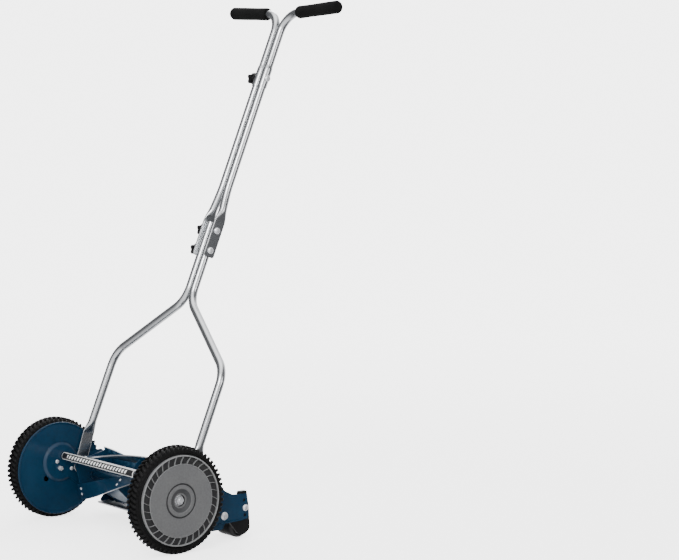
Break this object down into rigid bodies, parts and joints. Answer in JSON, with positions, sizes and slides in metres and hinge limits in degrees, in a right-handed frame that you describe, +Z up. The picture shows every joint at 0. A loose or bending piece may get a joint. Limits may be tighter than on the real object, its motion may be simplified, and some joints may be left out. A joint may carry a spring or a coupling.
{
  "type": "reel mower",
  "caption": "Push reel mower: two driving wheels geared to a helical blade reel over a bed knife, a rear roller and a bolted tube handle with foam grips.",
  "frame": {"origin": "middle of the bounding box, on the ground", "axes": "+Z up, -Y the way the mower cuts, +X the operator's left"},
  "size_m": [0.514, 0.57, 1.105],
  "materials": {
    "painted_steel": "dark blue baked enamel",
    "zinc_steel": "bright zinc plate",
    "tube_steel": "polished bright plated tube",
    "ground_steel": "ground blade steel",
    "hard_steel": "oiled hardened steel",
    "gear_plastic": "black moulded plastic",
    "tyre_rubber": "black tread rubber",
    "cover_plastic": "grey moulded plastic",
    "black_plastic": "black moulded plastic",
    "grip_foam": "black foam"
  },
  "bodies": {
    "frame": {"side_plate_left": "painted_steel", "side_plate_right": "painted_steel", "tie_bar": "tube_steel", "stub_axle_left": "zinc_steel", "stub_axle_right": "zinc_steel", "axle_nut_left": "zinc_steel", "axle_nut_right": "zinc_steel", "handle_pivot_bolt_left": "zinc_steel", "handle_pivot_bolt_right": "zinc_steel", "bracket_bolt_left": "zinc_steel", "bracket_bolt_right": "zinc_steel", "height_bolt_left": "zinc_steel", "height_bolt_right": "zinc_steel", "bearing_cup_left": "hard_steel", "bearing_cup_right": "hard_steel"},
    "wheel_left": {"wheel_left": "gear_plastic", "tyre_left": "tyre_rubber", "wheel_cover_left": "cover_plastic"},
    "wheel_right": {"wheel_right": "gear_plastic", "tyre_right": "tyre_rubber", "wheel_cover_right": "cover_plastic"},
    "reel": {"reel_shaft": "zinc_steel", "reel_spider_left": "painted_steel", "reel_spider_middle": "painted_steel", "reel_spider_right": "painted_steel", "reel_blade_1": "painted_steel", "reel_blade_2": "painted_steel", "reel_blade_3": "painted_steel", "reel_blade_4": "painted_steel", "bearing_cone_left": "hard_steel", "bearing_cone_right": "hard_steel", "pinion_clip_left": "zinc_steel", "pinion_clip_right": "zinc_steel"},
    "drive_left": {"pinion_left": "hard_steel"},
    "drive_right": {"pinion_right": "hard_steel"},
    "ratchet_left": {"pawl_left": "hard_steel"},
    "ratchet_right": {"pawl_right": "hard_steel"},
    "cutter": {"cutter_bar": "painted_steel", "bed_knife": "ground_steel"},
    "handle": {"lower_tube_left": "tube_steel", "lower_tube_right": "tube_steel", "middle_tube_left": "tube_steel", "middle_tube_right": "tube_steel", "grip_tube_left": "tube_steel", "grip_tube_right": "tube_steel", "foam_grip_left": "grip_foam", "foam_grip_right": "grip_foam", "lower_clamp_bolt": "zinc_steel", "lower_clamp_knob": "black_plastic", "middle_clamp_bolt": "zinc_steel", "middle_clamp_knob": "black_plastic", "top_clamp_bolt": "zinc_steel", "top_clamp_knob": "black_plastic"},
    "roller_carriage": {"roller_bracket_left": "black_plastic", "roller_bracket_right": "black_plastic", "roller_rod": "zinc_steel"},
    "roller_left_body": {"roller_left": "black_plastic"},
    "roller_middle_body": {"roller_middle": "black_plastic"},
    "roller_right_body": {"roller_right": "black_plastic"}
  },
  "joints": [
    {"name": "wheel_left_spin", "type": "hinge", "parent": "frame", "child": "wheel_left", "pos_m": [0, -0.17708, 0.10795], "axis": [1, 0, 0], "continuous": true},
    {"name": "wheel_right_spin", "type": "hinge", "parent": "frame", "child": "wheel_right", "pos_m": [0, -0.17708, 0.10795], "axis": [1, 0, 0], "continuous": true},
    {"name": "reel_spin", "type": "hinge", "parent": "frame", "child": "reel", "pos_m": [0, -0.10708, 0.09295], "axis": [1, 0, 0], "continuous": true},
    {"name": "pinion_left_spin", "type": "hinge", "parent": "frame", "child": "drive_left", "pos_m": [0, -0.10708, 0.09295], "axis": [1, 0, 0], "continuous": true},
    {"name": "pinion_right_spin", "type": "hinge", "parent": "frame", "child": "drive_right", "pos_m": [0, -0.10708, 0.09295], "axis": [1, 0, 0], "continuous": true},
    {"name": "pawl_left_slide", "type": "slide", "parent": "reel", "child": "ratchet_left", "axis": [0, 1, 0], "range_m": [-0.0015, 0.0015]},
    {"name": "pawl_right_slide", "type": "slide", "parent": "reel", "child": "ratchet_right", "axis": [0, 1, 0], "range_m": [-0.0015, 0.0015]},
    {"name": "handle_swing", "type": "hinge", "parent": "frame", "child": "handle", "pos_m": [0, -0.12907, 0.10795], "axis": [1, 0, 0], "range_deg": [-51, 31]},
    {"name": "cutter_adjust", "type": "hinge", "parent": "frame", "child": "cutter", "pos_m": [0, -0.04358, 0.05395], "axis": [1, 0, 0], "range_deg": [0, 1.5]},
    {"name": "roller_height", "type": "hinge", "parent": "frame", "child": "roller_carriage", "pos_m": [0, -0.04358, 0.05395], "axis": [1, 0, 0], "range_deg": [-8, 8]},
    {"name": "roller_left_spin", "type": "hinge", "parent": "roller_carriage", "child": "roller_left_body", "pos_m": [0, 0.00692, 0.02295], "axis": [1, 0, 0], "continuous": true},
    {"name": "roller_middle_spin", "type": "hinge", "parent": "roller_carriage", "child": "roller_middle_body", "pos_m": [0, 0.00692, 0.02295], "axis": [1, 0, 0], "continuous": true},
    {"name": "roller_right_spin", "type": "hinge", "parent": "roller_carriage", "child": "roller_right_body", "pos_m": [0, 0.00692, 0.02295], "axis": [1, 0, 0], "continuous": true}
  ],
  "couplings": [
    {"joint": "wheel_right_spin", "follows": "wheel_left_spin", "ratio": 1},
    {"joint": "reel_spin", "follows": "wheel_left_spin", "ratio": 6},
    {"joint": "pinion_left_spin", "follows": "wheel_left_spin", "ratio": 6},
    {"joint": "pinion_right_spin", "follows": "wheel_left_spin", "ratio": 6}
  ]
}
